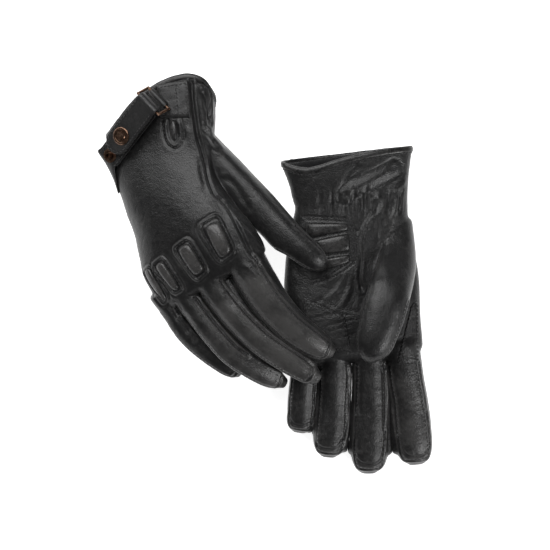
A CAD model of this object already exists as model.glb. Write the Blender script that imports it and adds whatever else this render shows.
# Pair of leather riding gloves: skins, seams, pads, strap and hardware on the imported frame.
import bpy, math
import numpy as np
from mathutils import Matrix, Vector
from mathutils.bvhtree import BVHTree


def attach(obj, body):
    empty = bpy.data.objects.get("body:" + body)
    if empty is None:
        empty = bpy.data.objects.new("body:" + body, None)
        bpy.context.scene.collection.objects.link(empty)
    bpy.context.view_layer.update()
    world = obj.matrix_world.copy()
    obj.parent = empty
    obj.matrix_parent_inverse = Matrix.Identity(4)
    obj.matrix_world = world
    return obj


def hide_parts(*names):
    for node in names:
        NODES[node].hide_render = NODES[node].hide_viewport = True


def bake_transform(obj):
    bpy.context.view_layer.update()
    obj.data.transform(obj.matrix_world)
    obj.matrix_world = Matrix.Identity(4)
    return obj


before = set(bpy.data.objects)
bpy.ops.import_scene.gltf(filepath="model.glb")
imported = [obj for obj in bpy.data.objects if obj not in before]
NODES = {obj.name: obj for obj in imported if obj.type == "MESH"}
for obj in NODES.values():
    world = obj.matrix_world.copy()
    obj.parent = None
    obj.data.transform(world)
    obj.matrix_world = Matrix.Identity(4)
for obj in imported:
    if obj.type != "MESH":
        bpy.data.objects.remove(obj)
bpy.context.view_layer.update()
STEP, OX, OY, SQ = 0.78, 263.9, 273.5, 2.4
rng = np.random.default_rng(7)

# ---- section tables: x, y, z, half width, height above, depth below, roll ---------------
HR = [[159,112,27,59,17,17,22],[163,150,29,53.5,17,17,22],[171,191.3,34,50,18,18,22],
      [186.5,229.3,39,55,18.5,18,22],[203,259,41,62.3,18,17,22],[215,279.5,41,61,15.5,15,22]]
HL = [[347,157,27,64.3,14,14,0],[352.5,203,26,53.7,13,15,0],[350.5,235,24,59.3,13.5,16.5,0],
      [350.5,257,22.5,63.2,14,17.5,0],[351.5,283,22.5,66.2,14,18,0],[352.5,320,22.5,65.4,14,18,0],
      [356,355,22,64,13,16,0]]
HR0 = np.array([[159,112,27,60,17,17,22],[162,150,29,54.5,17,17,22],[169,192,34,52,18,18,22],
      [185,230,39,56.5,18.5,18,22],[203,259,41,62,18,17,22],[214,280,41,63,15.5,15,22]], float)
FR = [
 [[243,254,53,16.5,15,14,22],[255,276,55,17,14,13,20],[272,303,56,16.2,13,12,18],[292,325,55,14.6,12,11,15],
  [310,339,53.5,13.2,11,10,12],[324,348,52,10,8.5,8,10],[333,352,51,4,3.5,3.5,10]],
 [[208,273,42,13.4,15,13.5,22],[226,300,44,13.4,13,12,20],[245,323,46,13,12.5,11.5,18],[266,343,47,12.6,11.5,10.5,15],
  [290,360,47,12.2,10.5,9.5,12],[308,372,46.5,9.6,8.5,8,10],[319,379,46,4,3.5,3.5,10]],
 [[182,288,32,11.4,13,12,22],[199,312,34,11.2,12,11,20],[215,333,36,10.8,11,10.5,18],[235,355,36,10.5,10,9.5,15],
  [257,369,32,10.2,9.5,9,12],[272,376,28,8,7.5,7,10],[282,381,26,3.5,3,3,10]],
 [[163.5,297.5,25,9.4,11,10.5,22],[178,321,21,9.2,10.5,10,20],[193,338,17,9,10,9.5,18],[209,352,13.5,8.8,9.5,9,15],
  [224,363,11.5,8.5,9,8.5,12],[233,369,10.5,6.6,7,7,10],[239,373,10,3,2.8,2.8,10]]]
FL = [
 [[401,350,21,15.5,13,14,0],[405,378,18.5,16.4,13,13.5,0],[409,400,16.5,16.6,13,13,0],[411.5,425,15,17.2,13,12.8,0],
  [414.3,447,14.5,16.6,12,12,0],[415.8,458.5,14,12.6,9,9,0],[416.2,464,14,5,3.5,3.5,0]],
 [[370,350,21,15,13,14,0],[371,378,18.5,16,13,13.5,0],[371,402,16.5,16.6,13,13,0],[370,432,15,17,13,12.8,0],
  [369.5,456,14.5,16.8,12,12,0],[369,467.5,14,12.6,9,9,0],[369,473.4,14,5,3.5,3.5,0]],
 [[334,352,20.5,14.5,12.5,13.5,0],[334,380,18,15,12.5,13,0],[333,402,16,15,12,12.5,0],[331.5,426,14.5,15.6,12,12.3,0],
  [330,442,14,15,11.5,11.8,0],[329,451.5,13.5,11.6,8.5,9,0],[328.5,457.2,13.5,4.6,3,3,0]],
 [[305,352,19,12.2,11.5,12.5,0],[303.5,380,17,12.4,11.5,12,0],[302,398,15,12.4,11,11.5,0],[301,412,13.5,12.4,11,11.3,0],
  [300,421.5,13,12.2,10.5,10.8,0],[299.5,428,12.5,9.6,8,8,0],[299,432.4,12.5,4.2,3,3,0]]]
TR = [[204,147.5,36,15,10,10,20],[233.5,181,41,17.8,11,10.5,18],[262.5,211.5,46,17,11,10,14],[290,238,52,13.6,10,9,10],
      [309,254,54,11.8,9,8,8],[319,262,53.5,8.2,7,6.5,8],[325,267,53,3,3,3,8]]
TL = [[399,226,22,13,9,9,0],[397,262,35,17.5,10.5,8.5,0],[389,292,49,20,11.5,8.5,0],[381,320,52,19.5,11.5,9,0],
      [374,343,52,17,10.5,9,0],[371,354,51.5,11.5,8,7,0],[370,361,51,4,3,3,0]]
FN = ["index", "middle", "ring_finger", "little"]
TAB = {"right": {"hand": HR, "thumb": TR, **{FN[i]: FR[i] for i in range(4)}},
       "left": {"hand": HL, "thumb": TL, **{FN[i]: FL[i] for i in range(4)}}}
TAB = {s: {k: np.array(v, float) for k, v in d.items()} for s, d in TAB.items()}
REACH = {"right": 0.72, "left": 0.0}


def row(tab, u):
    u = np.asarray(u, float)
    n = len(tab) - 1
    ext = np.vstack([2 * tab[0] - tab[1], tab, 2 * tab[-1] - tab[-2]])
    i = np.clip(np.floor(u).astype(int), 0, n - 1)
    t = (u - i)[..., None]
    a, b, c, d = ext[i], ext[i + 1], ext[i + 2], ext[i + 3]
    return 0.5 * (2 * b + (c - a) * t + (2 * a - 5 * b + 4 * c - d) * t * t + (3 * b - a - 3 * c + d) * t ** 3)


def centre(tab, u):
    r = row(tab, u)
    return np.stack([(r[..., 0] - OX) * STEP, (OY - r[..., 1]) * STEP, r[..., 2]], -1)


def unit(a):
    return a / np.maximum(np.linalg.norm(a, axis=-1, keepdims=True), 1e-9)


def frames(tab, u):
    u = np.asarray(u, float)
    C = centre(tab, u)
    T = unit(centre(tab, u + 0.02) - centre(tab, u - 0.02))
    S0 = unit(np.cross(np.array([0, 0, 1.0]), T))
    N1 = np.cross(T, S0)
    r = np.radians(row(tab, u)[..., 6])[..., None]
    return C, S0 * np.cos(r) + N1 * np.sin(r), N1 * np.cos(r) - S0 * np.sin(r), T


def spow(x, e):
    return np.sign(x) * np.abs(x) ** e


def reach_u(u, v, e):
    a, b = np.maximum(0, np.cos(np.radians(v - 72))) ** 2, np.maximum(0, np.cos(np.radians(v - 165))) ** 2
    return u - e * np.maximum(0, 1 - u) ** 2 * (a - 0.7 * b)


def pt(tab, u, v, d=0.0, e=0.0):
    """Points of a loft, in millimetres."""
    u, v, d = np.broadcast_arrays(np.asarray(u, float), np.asarray(v, float), np.asarray(d, float))
    if e:
        u = reach_u(u, v, e)
    C, S, N, T = frames(tab, u)
    q = row(tab, u)
    c, s = np.cos(np.radians(v)), np.sin(np.radians(v))
    k = 2 / SQ
    A = (q[..., 3] * STEP + d) * spow(c, k)
    B = (np.where(s >= 0, q[..., 4], q[..., 5]) + d) * spow(s, k)
    return C + S * A[..., None] + N * B[..., None]


def local(tab, P, lo=-1.2, hi=None):
    """Section coordinates of points near a loft: row u, angle v and radius ratio q."""
    hi = len(tab) - 1 + 0.3 if hi is None else hi
    us = np.linspace(lo, hi, 90)
    Cs = centre(tab, us)
    best = np.full(len(P), 1e18)
    u = np.zeros(len(P))
    for i in range(len(us)):
        dd = ((P - Cs[i]) ** 2).sum(1)
        m = dd < best
        best[m] = dd[m]
        u[m] = us[i]
    for _ in range(4):
        C, S, N, T = frames(tab, u)
        sp = np.linalg.norm(centre(tab, u + 0.05) - centre(tab, u - 0.05), axis=1) / 0.1
        u = np.clip(u + 0.8 * ((P - C) * T).sum(1) / sp, lo, hi)
    C, S, N, T = frames(tab, u)
    r = row(tab, u)
    D = P - C
    x, y = (D * S).sum(1), (D * N).sum(1)
    a = np.maximum(r[:, 3] * STEP, 0.5)
    b = np.maximum(np.where(y >= 0, r[:, 4], r[:, 5]), 0.5)
    q = (np.abs(x / a) ** SQ + np.abs(y / b) ** SQ) ** (1 / SQ)
    v = np.degrees(np.arctan2(spow(y / b, SQ / 2), spow(x / a, SQ / 2))) % 360
    along = ((P - C) * T).sum(1)
    return u, v, q, along


def loft_mesh(tab, us, nv, d, e=0.0, off=0):
    v = np.arange(nv) * 360 / nv
    U, V = np.meshgrid(us, v, indexing="ij")
    P = pt(tab, U, V, d, e).reshape(-1, 3)
    n = len(us)
    F = []
    for i in range(n - 1):
        for j in range(nv):
            k = (j + 1) % nv
            F.append([off + i * nv + j, off + i * nv + k, off + (i + 1) * nv + k, off + (i + 1) * nv + j])
    F.append([off + j for j in range(nv)][::-1])
    F.append([off + (n - 1) * nv + j for j in range(nv)])
    return P, F


# ---- small numeric helpers -------------------------------------------------------------
def vnormals(V, F):
    n = np.cross(V[F[:, 2]] - V[F[:, 0]], V[F[:, 3]] - V[F[:, 1]])
    out = np.zeros_like(V)
    for k in range(4):
        for c in range(3):
            out[:, c] += np.bincount(F[:, k], n[:, c], len(V))
    return unit(out)


def edges_of(F):
    e = np.vstack([F[:, [0, 1]], F[:, [1, 2]], F[:, [2, 3]], F[:, [3, 0]]])
    e.sort(axis=1)
    return np.unique(e, axis=0)


def smooth(V, E, it, w=0.5, mask=None):
    deg = np.bincount(E.ravel(), minlength=len(V)).astype(float)[:, None]
    for _ in range(it):
        acc = np.zeros_like(V)
        for c in range(3):
            acc[:, c] = np.bincount(E[:, 0], V[E[:, 1], c], len(V)) + np.bincount(E[:, 1], V[E[:, 0], c], len(V))
        step = w * (acc / np.maximum(deg, 1) - V)
        V = V + (step if mask is None else step * mask[:, None])
    return V


def hash3(i, seed):
    h = (i[..., 0] * 374761393 + i[..., 1] * 668265263 + i[..., 2] * 2147483647 + seed * 974634777) & 0xFFFFFFFF
    h = ((h ^ (h >> 13)) * 1274126177) & 0xFFFFFFFF
    return ((h ^ (h >> 16)) & 0xFFFF) / 65535.0


def noise(P, scale, seed=1):
    """Smooth value noise, -1 to 1, with cells of the given size in millimetres (one size or three)."""
    Q = P / np.asarray(scale, float)
    i = np.floor(Q).astype(np.int64)
    f = Q - i
    f = f * f * (3 - 2 * f)
    out = np.zeros(len(P))
    for a in (0, 1):
        for b in (0, 1):
            for c in (0, 1):
                w = (f[:, 0] if a else 1 - f[:, 0]) * (f[:, 1] if b else 1 - f[:, 1]) * (f[:, 2] if c else 1 - f[:, 2])
                out += w * hash3(i + np.array([a, b, c]), seed)
    return out * 2 - 1


def resample(L, step):
    L = np.asarray(L, float)
    s = np.r_[0, np.cumsum(np.linalg.norm(np.diff(L, axis=0), axis=1))]
    n = max(2, int(round(s[-1] / step)) + 1)
    t = np.linspace(0, s[-1], n)
    return np.stack([np.interp(t, s, L[:, k]) for k in range(L.shape[1])], 1)


def curve2(P, step=1.0):
    """Catmull-Rom through layout points, resampled."""
    P = np.asarray(P, float)
    u = np.linspace(0, len(P) - 1, max(24, 8 * len(P)))
    ext = np.vstack([2 * P[0] - P[1], P, 2 * P[-1] - P[-2]])
    i = np.clip(np.floor(u).astype(int), 0, len(P) - 2)
    t = (u - i)[:, None]
    a, b, c, d = ext[i], ext[i + 1], ext[i + 2], ext[i + 3]
    Q = 0.5 * (2 * b + (c - a) * t + (2 * a - 5 * b + 4 * c - d) * t * t + (3 * b - a - 3 * c + d) * t ** 3)
    return resample(Q, step)


def seg_dist(P, L, reach=8.0):
    """Distance of points to a polyline; far points get the reach."""
    out = np.full(len(P), reach)
    lo, hi = L.min(0) - reach, L.max(0) + reach
    idx = np.where(((P > lo) & (P < hi)).all(1))[0]
    if not len(idx):
        return out
    Q = P[idx]
    best = np.full(len(idx), reach * reach)
    step = 40
    for k in range(0, len(L) - 1, step):
        part = L[k:k + step + 1]
        l2, h2 = part.min(0) - reach, part.max(0) + reach
        m = np.where(((Q > l2) & (Q < h2)).all(1))[0]
        if not len(m):
            continue
        q = Q[m]
        b = best[m]
        for i in range(len(part) - 1):
            a, d = part[i], part[i + 1] - part[i]
            t = np.clip(((q - a) @ d) / max(d @ d, 1e-12), 0, 1)
            r = q - a - t[:, None] * d
            b = np.minimum(b, (r * r).sum(1))
        best[m] = b
    out[idx] = np.sqrt(best)
    return out


def W(px, py):
    return np.array([(px - OX) * STEP, (OY - py) * STEP])


# ---- materials -------------------------------------------------------------------------
def new_mat(name):
    m = bpy.data.materials.new(name)
    m.use_nodes = True
    nt = m.node_tree
    nt.nodes.clear()
    out = nt.nodes.new("ShaderNodeOutputMaterial")
    b = nt.nodes.new("ShaderNodeBsdfPrincipled")
    nt.links.new(b.outputs[0], out.inputs[0])
    return m, nt, b


class G:
    """Short hand for building node graphs."""
    def __init__(self, nt):
        self.nt = nt

    def n(self, kind, **kw):
        x = self.nt.nodes.new(kind)
        for k, v in kw.items():
            setattr(x, k, v)
        return x

    def put(self, sock, val):
        if hasattr(val, "is_output"):
            self.nt.links.new(val, sock)
        else:
            sock.default_value = val

    def rest(self, scale=(1000, 1000, 1000)):
        a = self.n("ShaderNodeAttribute", attribute_name="rest")
        m = self.n("ShaderNodeVectorMath", operation="MULTIPLY")
        self.put(m.inputs[0], a.outputs["Vector"])
        m.inputs[1].default_value = scale
        return m.outputs[0]

    def attr(self, name):
        return self.n("ShaderNodeAttribute", attribute_name=name).outputs["Fac"]

    def noise(self, vec, scale, detail=3, rough=0.55, dist=0.0):
        x = self.n("ShaderNodeTexNoise")
        self.put(x.inputs["Vector"], vec)
        x.inputs["Scale"].default_value = scale
        x.inputs["Detail"].default_value = detail
        x.inputs["Roughness"].default_value = rough
        x.inputs["Distortion"].default_value = dist
        return x.outputs[0]

    def voronoi(self, vec, scale, feature="F1", rand=1.0):
        x = self.n("ShaderNodeTexVoronoi", feature=feature)
        self.put(x.inputs["Vector"], vec)
        x.inputs["Scale"].default_value = scale
        x.inputs["Randomness"].default_value = rand
        return x.outputs["Distance"]

    def math(self, op, a, b=0.0, clamp=False):
        x = self.n("ShaderNodeMath", operation=op, use_clamp=clamp)
        self.put(x.inputs[0], a)
        self.put(x.inputs[1], b)
        return x.outputs[0]

    def ramp(self, fac, stops):
        x = self.n("ShaderNodeValToRGB")
        e = x.color_ramp.elements
        while len(e) < len(stops):
            e.new(0.5)
        for el, (p, c) in zip(e, stops):
            el.position = p
            el.color = (*c, 1)
        self.put(x.inputs[0], fac)
        return x.outputs[0]

    def mapr(self, v, a, b, c, d):
        x = self.n("ShaderNodeMapRange")
        self.put(x.inputs[0], v)
        for k, val in zip((1, 2, 3, 4), (a, b, c, d)):
            x.inputs[k].default_value = val
        return x.outputs[0]

    def bump(self, h, strength, dist, normal=None):
        x = self.n("ShaderNodeBump")
        x.inputs["Strength"].default_value = strength
        x.inputs["Distance"].default_value = dist
        self.put(x.inputs["Height"], h)
        if normal is not None:
            self.put(x.inputs["Normal"], normal)
        return x.outputs[0]


def leather(name, dark, mid, light, rough=(0.46, 0.64), grain=1.0, cell=0.80, spec=0.46, sheen=0.03):
    m, nt, b = new_mat(name)
    g = G(nt)
    p = g.rest()
    big = g.noise(p, 0.055, 4, 0.6)
    mid_n = g.noise(p, 0.35, 4, 0.6, 0.3)
    wear = g.attr("wear")
    tone = g.math("ADD", g.math("MULTIPLY", big, 0.55), g.math("MULTIPLY", mid_n, 0.45))
    tone = g.math("ADD", tone, g.math("MULTIPLY", wear, 0.42))
    g.put(b.inputs["Base Color"], g.ramp(tone, [(0.30, dark), (0.55, mid), (0.95, light)]))
    r = g.mapr(g.math("ADD", mid_n, g.math("MULTIPLY", wear, -0.35)), 0.25, 0.75, rough[0], rough[1])
    g.put(b.inputs["Roughness"], r)
    b.inputs["Specular IOR Level"].default_value = spec
    b.inputs["Sheen Weight"].default_value = sheen
    b.inputs["Sheen Roughness"].default_value = 0.5
    pebble = g.voronoi(p, 1 / cell)
    crease = g.voronoi(p, 1 / (cell * 2.3), "DISTANCE_TO_EDGE")
    fine = g.noise(p, 2.6, 3, 0.65)
    soft = g.noise(g.rest((700, 1000, 1000)), 0.16, 3, 0.55, 0.6)
    n1 = g.bump(soft, 0.17, 0.0012)
    n2 = g.bump(g.mapr(crease, 0.0, 0.22, 0.0, 1.0), 0.16 * grain, 0.00026, n1)
    n3 = g.bump(pebble, 0.40 * grain, 0.00028, n2)
    n4 = g.bump(fine, 0.30 * grain, 0.00022, n3)
    g.put(b.inputs["Normal"], n4)
    return m


def thread(name, c1, c2):
    m, nt, b = new_mat(name)
    g = G(nt)
    p = g.rest()
    n = g.noise(p, 3.0, 3, 0.7)
    g.put(b.inputs["Base Color"], g.ramp(n, [(0.3, c1), (0.7, c2)]))
    g.put(b.inputs["Roughness"], g.mapr(n, 0.2, 0.8, 0.35, 0.55))
    b.inputs["Specular IOR Level"].default_value = 0.35
    w = g.n("ShaderNodeTexWave", wave_type="BANDS", bands_direction="DIAGONAL")
    g.put(w.inputs["Vector"], p)
    w.inputs["Scale"].default_value = 1.6
    w.inputs["Distortion"].default_value = 1.0
    g.put(b.inputs["Normal"], g.bump(w.outputs[1], 0.6, 0.00015))
    return m


def knit(name, c1, c2):
    m, nt, b = new_mat(name)
    g = G(nt)
    p = g.rest()
    w1 = g.n("ShaderNodeTexWave", wave_type="BANDS", bands_direction="X")
    w2 = g.n("ShaderNodeTexWave", wave_type="BANDS", bands_direction="Y")
    for w in (w1, w2):
        g.put(w.inputs["Vector"], p)
        w.inputs["Scale"].default_value = 0.45
        w.inputs["Distortion"].default_value = 1.2
    h = g.math("MULTIPLY", w1.outputs[1], w2.outputs[1])
    f = g.noise(p, 1.2, 4, 0.7)
    g.put(b.inputs["Base Color"], g.ramp(g.math("ADD", g.math("MULTIPLY", h, 0.5), g.math("MULTIPLY", f, 0.5)),
                                         [(0.25, c1), (0.75, c2)]))
    b.inputs["Roughness"].default_value = 0.9
    b.inputs["Specular IOR Level"].default_value = 0.15
    b.inputs["Sheen Weight"].default_value = 0.25
    g.put(b.inputs["Normal"], g.bump(h, 0.7, 0.0006))
    return m


def metal(name, lo, mid, hi, rough=(0.22, 0.45), dirt=0.5):
    m, nt, b = new_mat(name)
    g = G(nt)
    tc = g.n("ShaderNodeTexCoord")
    mm = g.n("ShaderNodeVectorMath", operation="SCALE")
    g.put(mm.inputs[0], tc.outputs["Object"])
    mm.inputs["Scale"].default_value = 1000
    p = mm.outputs[0]
    n = g.noise(p, 0.45, 5, 0.65, 0.4)
    f = g.noise(p, 3.5, 3, 0.7)
    ao = g.n("ShaderNodeAmbientOcclusion", samples=8)
    ao.inputs["Distance"].default_value = 0.0016
    dark = g.math("MULTIPLY", g.math("SUBTRACT", 1.0, ao.outputs["AO"]), dirt)
    tone = g.math("SUBTRACT", n, dark)
    g.put(b.inputs["Base Color"], g.ramp(tone, [(0.22, lo), (0.5, mid), (0.78, hi)]))
    b.inputs["Metallic"].default_value = 1.0
    g.put(b.inputs["Roughness"], g.mapr(f, 0.25, 0.75, rough[0], rough[1]))
    g.put(b.inputs["Normal"], g.bump(f, 0.10, 0.00012, g.bump(n, 0.12, 0.0002)))
    return m


M_LEATHER = leather("glove_leather", (0.0050, 0.0050, 0.0053), (0.0095, 0.0093, 0.0094), (0.050, 0.0485, 0.0475), rough=(0.28, 0.41))
M_SMOOTH = leather("smooth_leather", (0.0055, 0.0055, 0.0058), (0.0105, 0.0103, 0.0104), (0.058, 0.056, 0.055),
                   rough=(0.26, 0.38), grain=0.6, cell=0.7)
M_PALM = leather("palm_leather", (0.0050, 0.0050, 0.0053), (0.0095, 0.0093, 0.0094), (0.050, 0.0485, 0.0475),
                 rough=(0.31, 0.44), grain=1.15, cell=1.05)
M_STRAP = leather("strap_leather", (0.0070, 0.0070, 0.0074), (0.0120, 0.0118, 0.0119), (0.032, 0.031, 0.0305),
                  rough=(0.33, 0.46), grain=0.8, cell=0.85)
M_THREAD = thread("bonded_thread", (0.016, 0.016, 0.0165), (0.055, 0.054, 0.0545))
M_KNIT = knit("lining_knit", (0.006, 0.006, 0.007), (0.020, 0.020, 0.021))
M_ELASTIC = knit("elastic_web", (0.008, 0.008, 0.009), (0.024, 0.024, 0.025))
M_FOAM = knit("foam_core", (0.010, 0.010, 0.011), (0.026, 0.026, 0.027))
M_COPPER = metal("antique_copper", (0.030, 0.018, 0.012), (0.17, 0.100, 0.068), (0.42, 0.28, 0.21))
M_STEEL = metal("snap_steel", (0.12, 0.11, 0.10), (0.42, 0.40, 0.37), (0.72, 0.70, 0.66), rough=(0.2, 0.4))


# ---- mesh output -----------------------------------------------------------------------
def build(name, V, F, mat, normals=None, wear=None):
    """One object from millimetre points and faces, with its rest position kept for the textures."""
    me = bpy.data.meshes.new(name)
    V = np.asarray(V, float) * 0.001
    if isinstance(F, np.ndarray) and F.ndim == 2:
        k = F.shape[1]
        me.vertices.add(len(V))
        me.vertices.foreach_set("co", V.ravel())
        me.loops.add(F.size)
        me.loops.foreach_set("vertex_index", F.ravel().astype(np.int32))
        me.polygons.add(len(F))
        me.polygons.foreach_set("loop_start", np.arange(0, F.size, k, dtype=np.int32))
        me.update(calc_edges=True)
    else:
        me.from_pydata(V.tolist(), [], [list(map(int, f)) for f in F])
        me.update()
    me.polygons.foreach_set("use_smooth", np.ones(len(me.polygons), bool))
    at = me.attributes.new("rest", "FLOAT_VECTOR", "POINT")
    at.data.foreach_set("vector", V.ravel())
    wa = me.attributes.new("wear", "FLOAT", "POINT")
    wa.data.foreach_set("value", np.zeros(len(V)) if wear is None else np.asarray(wear, float))
    if normals is not None:
        me.normals_split_custom_set_from_vertices(normals.tolist())
    me.materials.append(mat)
    ob = bpy.data.objects.new(name, me)
    bpy.context.scene.collection.objects.link(ob)
    return ob


def place(ob, body, nodes=()):
    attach(ob, body)
    if nodes:
        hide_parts(*nodes)
    return ob


def union_skin(parts, voxel):
    """Closed lofts joined by a voxel remesh; returns points in mm and quads."""
    V, F, off = [], [], 0
    for tab, us, nv, d, e in parts:
        p, f = loft_mesh(tab, us, nv, d, e, off)
        V.append(p)
        F += f
        off += len(p)
    me = bpy.data.meshes.new("tmp")
    me.from_pydata((np.vstack(V) * 0.001).tolist(), [], F)
    ob = bpy.data.objects.new("tmp", me)
    bpy.context.scene.collection.objects.link(ob)
    import bmesh
    bm = bmesh.new()
    bm.from_mesh(me)
    bmesh.ops.recalc_face_normals(bm, faces=bm.faces)
    bm.to_mesh(me)
    bm.free()
    md = ob.modifiers.new("r", "REMESH")
    md.mode = "VOXEL"
    md.voxel_size = voxel * 0.001
    md.adaptivity = 0.0
    dg = bpy.context.evaluated_depsgraph_get()
    ev = bpy.data.meshes.new_from_object(ob.evaluated_get(dg))
    P = np.empty(len(ev.vertices) * 3)
    ev.vertices.foreach_get("co", P)
    L = np.empty(len(ev.loops), np.int32)
    ev.loops.foreach_get("vertex_index", L)
    bpy.data.objects.remove(ob)
    bpy.data.meshes.remove(me)
    quads = L.reshape(-1, 4)
    bpy.data.meshes.remove(ev)
    return P.reshape(-1, 3) * 1000, quads


# ---- glove skins -----------------------------------------------------------------------
DIGITS = FN + ["thumb"]
VOX = 0.8
U_CUT = {"right": {"index": 1.25, "middle": 1.25, "ring_finger": 1.25, "little": 1.25, "thumb": 1.3},
         "left": {"index": 1.2, "middle": 1.2, "ring_finger": 1.2, "little": 1.2, "thumb": 1.3}}


def edge_u(side, v):
    """Row of the cuff edge at an angle round the hand."""
    v = np.asarray(v, float)
    if side == "right":
        k = np.array([(0, -0.13), (20, -0.14), (30, -0.09), (40, -0.03), (50, 0.03), (60, 0.09), (75, 0.14), (100, 0.155), (112, 0.165),
                      (122, 0.15), (132, 0.10), (142, 0.04), (155, -0.01), (180, -0.02), (210, 0), (320, 0), (340, -0.07), (360, -0.13)])
        return reach_u(np.zeros_like(v), v, REACH["right"]) + np.interp(v % 360, k[:, 0], k[:, 1])
    a = (v - 122 + 180) % 360 - 180
    return 0.19 * np.exp(-(a / 34) ** 2) - 0.02


class Skin:
    def __init__(self, side):
        self.side = side
        T = TAB[side]
        e = REACH[side]
        n = len(T["hand"]) - 1
        us = np.r_[np.linspace(-0.16 if side == "right" else -0.2, n, 64), n + 0.1, n + 0.16]
        d = np.full(len(us), 0.4)
        d[-3:] = [-0.6, -4.0, -7.5]
        parts = [(T["hand"], us, 96, d[:, None], e)]
        for k in DIGITS:
            parts.append((T[k], np.linspace(-0.3 if k != "thumb" else -0.15, 6.0, 70), 48, 0.4, 0.0))
        V, F = union_skin(parts, VOX)
        E = edges_of(F)
        V = smooth(V, E, 5)
        self.loc = {k: local(T[k], V) for k in ["hand"] + DIGITS}
        qh = self.loc["hand"][2]
        near = np.zeros(len(V))
        for k in DIGITS:
            u, v, q, al = self.loc[k]
            w = np.clip((1.45 - qh) / 0.3, 0, 1) * np.clip((1.45 - q) / 0.3, 0, 1) * (u < 1.4)
            near = np.maximum(near, w)
        V = smooth(V, E, 14, 0.5, near)
        self.V, self.F, self.E = V, F, E
        self.N = vnormals(V, F)
        if (self.N * (V - V.mean(0))).sum() < 0:
            self.F = F[:, ::-1].copy()
            self.N = -self.N
        self.V = self.V + self.N * 0.8
        self.wear = np.zeros(len(V))
        self.digit = np.full(len(V), -1)
        best = np.full(len(V), 1.5)
        for i, k in enumerate(DIGITS):
            u, v, q, al = self.loc[k]
            m = (u > U_CUT[side][k]) & (q < best)
            self.digit[m] = i
            best[m] = q[m]
        self.stall = np.full(len(V), -1)
        best = np.full(len(V), 1.5)
        for i, k in enumerate(FN):
            u, v, q, al = self.loc[k]
            m = (u > 0.35) & (q < best)
            self.stall[m] = i
            best[m] = q[m]
        self.tree()
        self.fill()
        self.tree()
        self.fill()
        self.tree()

    def fill(self):
        """Stalls swell until they nearly touch their neighbours, as leather fingers lie."""
        ids = np.where(self.stall >= 0)[0]
        ex = np.zeros(len(self.V))
        for i in ids:
            h = self.bvh.ray_cast(Vector(self.V[i] + self.N[i] * 0.06), Vector(self.N[i]), 9.0)
            if h[0] is not None:
                j = self.F[h[2]][0]
                if self.stall[j] != self.stall[i] and self.stall[j] >= 0:
                    ex[i] = min(max(h[3] / 2 - 0.12, 0.0), 2.4)
        q = smooth(np.repeat(ex[:, None], 3, 1), self.E, 16, 0.6)[:, 0]
        self.V = self.V + self.N * np.minimum(np.maximum(q, 0), np.where(ex > 0, ex, q * 0.7))[:, None]
        self.N = vnormals(self.V, self.F)

    def tree(self):
        self.bvh = BVHTree.FromPolygons([Vector(p) for p in self.V.tolist()], self.F.tolist())

    def cast(self, O, D, far=60.0):
        P, Nn, ok = [], [], []
        for o, d in zip(O, D):
            h = self.bvh.ray_cast(Vector(o), Vector(d), far)
            if h[0] is None:
                P.append((0, 0, 0)); Nn.append((0, 0, 1)); ok.append(False)
            else:
                P.append(h[0][:]); nn = h[1]
                Nn.append((nn if nn.dot(Vector(d)) < 0 else -nn)[:]); ok.append(True)
        return np.array(P), np.array(Nn), np.array(ok)

    def drop(self, px):
        """Layout points dropped on the skin from above."""
        px = np.asarray(px, float)
        O = np.stack([(px[:, 0] - OX) * STEP, (OY - px[:, 1]) * STEP, np.full(len(px), 150.0)], 1)
        return self.cast(O, np.tile([0, 0, -1.0], (len(px), 1)), 300)

    def line(self, px, step=0.8):
        P, N, ok = self.drop(curve2(px, step / STEP))
        return P[ok], N[ok]

    def wrap(self, key, u, v, out=2.6):
        """Points of the skin over loft angles."""
        tab = TAB[self.side][key]
        u, v = np.broadcast_arrays(np.asarray(u, float), np.asarray(v, float))
        A = pt(tab, u, v, out)
        B = pt(tab, u, v, -3.0)
        return self.cast(A, unit(B - A), 12)

    def apply(self, disp, wear=None):
        self.V = self.V + self.N * disp[:, None]
        if wear is not None:
            self.wear = self.wear + wear


def gauss(d, s):
    return np.exp(-(d / s) ** 2)


def seam_profile(d, depth=0.75, s=0.75, lift=0.5, off=1.9, s2=0.95):
    return -depth * gauss(d, s) + lift * gauss(d - off, s2)


SKIN = {s: Skin(s) for s in ("right", "left")}
STITCH = {}          # body or (hand, digit) -> list of (points, normals, pitch, length, radius)


def add_stitch(key, P, N, pitch=3.2, length=2.3, radius=0.46, lift=0.20):
    if len(P) > 1:
        STITCH.setdefault(key, []).append((P, N, pitch, length, radius, lift))


# finger and thumb seams, as rows and angles of each loft
SEAMS = {"right": [], "left": []}
for side, sk in SKIN.items():
    for k in FN:
        for a, b in ((40, 140), (320, 220)):
            s = np.linspace(0, 1, 26)
            u = np.r_[np.linspace(0.45, 5.05, 110), 5.05 + 0.22 * np.sin(np.pi * s), np.linspace(5.05, 0.45, 110)]
            v = np.r_[np.full(110, a), a + (b - a) * s, np.full(110, b)]
            P, N, ok = sk.wrap(k, u, v)
            good = ok & np.r_[True, np.linalg.norm(np.diff(P, axis=0), axis=1) < 3.5]
            SEAMS[side].append((k, P[good], N[good], u[good], v[good]))
    s = np.linspace(0, 1, 40)
    for v0 in ((150, 30) if side == "right" else (20, 160)):
        P, N, ok = sk.wrap("thumb", 1.1 + 4.2 * s, v0 + 0 * s)
        SEAMS[side].append(("thumb", P[ok], N[ok], (1.1 + 4.2 * s)[ok], (v0 + 0 * s)[ok]))


def split_runs(P, limit=3.0):
    d = np.linalg.norm(np.diff(P, axis=0), axis=1)
    cut = np.where(d > limit)[0] + 1
    return [r for r in np.split(np.arange(len(P)), cut) if len(r) > 2]


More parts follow.
